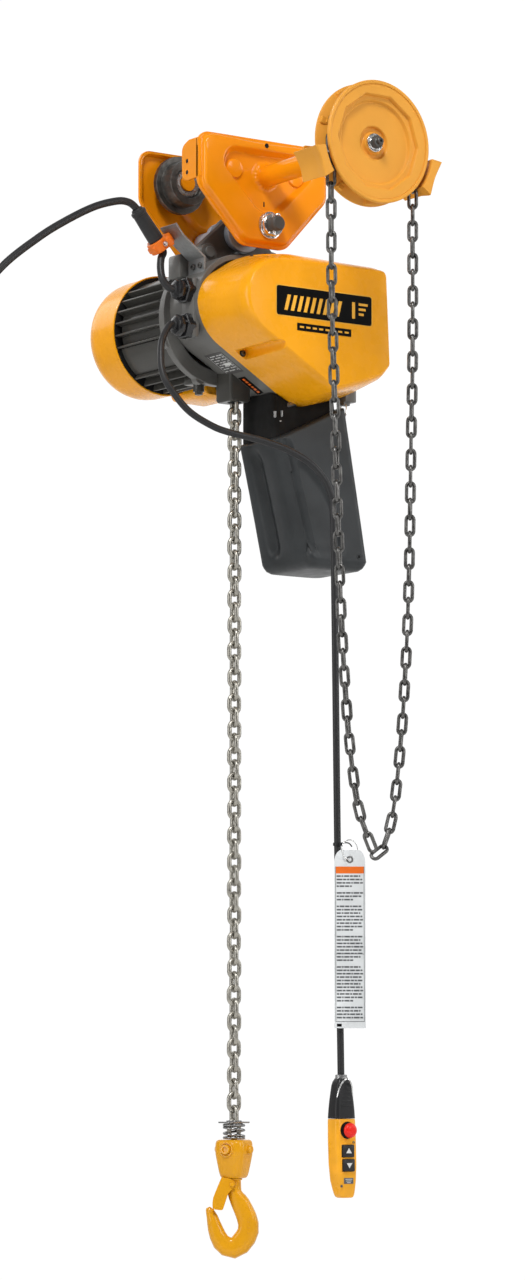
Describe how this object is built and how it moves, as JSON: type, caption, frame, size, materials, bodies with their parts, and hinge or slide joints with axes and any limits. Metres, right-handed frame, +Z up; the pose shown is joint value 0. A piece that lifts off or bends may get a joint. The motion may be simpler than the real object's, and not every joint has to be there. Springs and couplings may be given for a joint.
{
  "type": "chain hoist",
  "caption": "Electric chain hoist on a hand-geared beam trolley, with a hand chain loop, a chain container, a load hook and a pendant control on its cable.",
  "frame": {"origin": "beam seat: the level of the top of the beam's bottom flange, in the middle of the four track wheels", "axes": "+X along the beam, -Y towards the hand wheel and the controller cover, +Z up"},
  "size_m": [0.748, 0.664, 1.8062],
  "materials": {
    "yellow": "gloss",
    "orange": "gloss",
    "casting": "satin",
    "zinc": "satin",
    "dark_steel": "satin",
    "nickel": "polished",
    "black": "satin",
    "rubber": "matt",
    "container": "satin",
    "red": "gloss",
    "white": "matt",
    "copper": "matt",
    "green": "matt",
    "pendant_yellow": "gloss"
  },
  "bodies": {
    "trolley": {"side_plate_front": "orange", "side_plate_rear": "orange", "axle_front_left": "orange", "axle_front_right": "orange", "axle_rear_left": "orange", "axle_rear_right": "orange", "suspension_shaft": "dark_steel", "shaft_washer": "zinc", "split_pin": "zinc", "spacer_front": "zinc", "spacer_rear": "zinc", "shaft_tube": "orange", "chain_guide_bracket": "yellow", "hand_chain": "dark_steel"},
    "track_wheel_front_left": {"wheel_front_left": "dark_steel"},
    "track_wheel_front_right": {"wheel_front_right": "dark_steel"},
    "track_wheel_rear_left": {"wheel_rear_left": "dark_steel"},
    "track_wheel_rear_right": {"wheel_rear_right": "dark_steel"},
    "hand_drive": {"pinion_shaft": "dark_steel", "hand_wheel": "yellow", "hand_wheel_nut": "zinc"},
    "hoist": {"suspender": "casting", "suspender_pin_left": "dark_steel", "suspender_pin_right": "dark_steel", "hoist_frame": "casting", "motor_frame": "casting", "rear_cover": "yellow", "controller_cover": "yellow", "stator": "copper", "control_board": "green", "oil_plug": "zinc", "power_gland": "black", "pendant_gland": "black", "cable_bracket": "zinc", "cable_clamp": "orange", "cable_sleeve": "rubber", "power_cable": "rubber", "power_plug": "rubber", "pendant_cable": "rubber", "chain_container": "container", "load_chain": "nickel", "pendant_top": "black", "pendant_body": "pendant_yellow", "tag": "white", "tag_ring": "nickel"},
    "motor_shaft": {"rotor": "dark_steel", "fan": "black"},
    "sheave_shaft": {"load_sheave": "dark_steel", "load_gear": "dark_steel"},
    "hook_block": {"hook_yoke": "yellow", "chain_pin": "yellow", "yoke_bolt": "yellow", "chain_spring": "nickel"},
    "limit_stop": {"limit_plate": "zinc"},
    "load_hook": {"hook": "yellow", "latch_pin": "dark_steel"},
    "safety_latch": {"hook_latch": "yellow"},
    "up_key": {"up_button": "black"},
    "down_key": {"down_button": "black"},
    "stop_key": {"stop_button": "red"}
  },
  "joints": [
    {"name": "hoist_swing", "type": "hinge", "parent": "trolley", "child": "hoist", "pos_m": [0, 0, -0.0495], "axis": [0, 1, 0], "range_deg": [-6, 6]},
    {"name": "hand_wheel_spin", "type": "hinge", "parent": "trolley", "child": "hand_drive", "pos_m": [0, 0, 0.0315], "axis": [0, 1, 0], "continuous": true},
    {"name": "wheel_front_left_spin", "type": "hinge", "parent": "trolley", "child": "track_wheel_front_left", "pos_m": [-0.05965, 0, 0.038], "axis": [0, 1, 0], "continuous": true},
    {"name": "wheel_front_right_spin", "type": "hinge", "parent": "trolley", "child": "track_wheel_front_right", "pos_m": [0.05965, 0, 0.038], "axis": [0, 1, 0], "continuous": true},
    {"name": "wheel_rear_left_spin", "type": "hinge", "parent": "trolley", "child": "track_wheel_rear_left", "pos_m": [-0.05965, 0, 0.038], "axis": [0, 1, 0], "continuous": true},
    {"name": "wheel_rear_right_spin", "type": "hinge", "parent": "trolley", "child": "track_wheel_rear_right", "pos_m": [0.05965, 0, 0.038], "axis": [0, 1, 0], "continuous": true},
    {"name": "hook_lift", "type": "slide", "parent": "hoist", "child": "hook_block", "axis": [0, 0, 1], "range_m": [0, 1.1], "deforming": ["load_chain"]},
    {"name": "sheave_spin", "type": "hinge", "parent": "hoist", "child": "sheave_shaft", "pos_m": [0.0334, 0, -0.2141], "axis": [0, 1, 0], "range_deg": [0, 1889]},
    {"name": "motor_spin", "type": "hinge", "parent": "hoist", "child": "motor_shaft", "pos_m": [-0.02, 0, -0.189], "axis": [0, 1, 0], "range_deg": [-7399, 0]},
    {"name": "limit_slide", "type": "slide", "parent": "hook_block", "child": "limit_stop", "axis": [0, 0, -1], "range_m": [0, 0.01], "stiffness_N_per_m": 800, "springref_m": -0.008, "deforming": ["chain_spring"]},
    {"name": "hook_swivel", "type": "hinge", "parent": "hook_block", "child": "load_hook", "pos_m": [0, 0, -1.54], "axis": [0, 0, 1], "continuous": true},
    {"name": "latch_pivot", "type": "hinge", "parent": "load_hook", "child": "safety_latch", "pos_m": [-0.00246, 0.00172, -1.566], "axis": [0.5736, 0.8192, 0], "range_deg": [-30, 0], "stiffness_Nm_per_rad": 0.12, "springref_deg": 20.05},
    {"name": "up_press", "type": "slide", "parent": "hoist", "child": "up_key", "axis": [0, 1, 0], "range_m": [0, 0.0035], "stiffness_N_per_m": 300, "springref_m": -0.003},
    {"name": "down_press", "type": "slide", "parent": "hoist", "child": "down_key", "axis": [0, 1, 0], "range_m": [0, 0.0035], "stiffness_N_per_m": 300, "springref_m": -0.003},
    {"name": "stop_press", "type": "slide", "parent": "hoist", "child": "stop_key", "axis": [0, 1, 0], "range_m": [0, 0.004], "stiffness_N_per_m": 500, "springref_m": -0.003}
  ],
  "couplings": [
    {"joint": "wheel_front_left_spin", "follows": "hand_wheel_spin", "ratio": -0.33333},
    {"joint": "wheel_front_right_spin", "follows": "hand_wheel_spin", "ratio": -0.33333},
    {"joint": "sheave_spin", "follows": "hook_lift", "rad_per_m": 29.94},
    {"joint": "motor_spin", "follows": "hook_lift", "rad_per_m": -117.27}
  ]
}
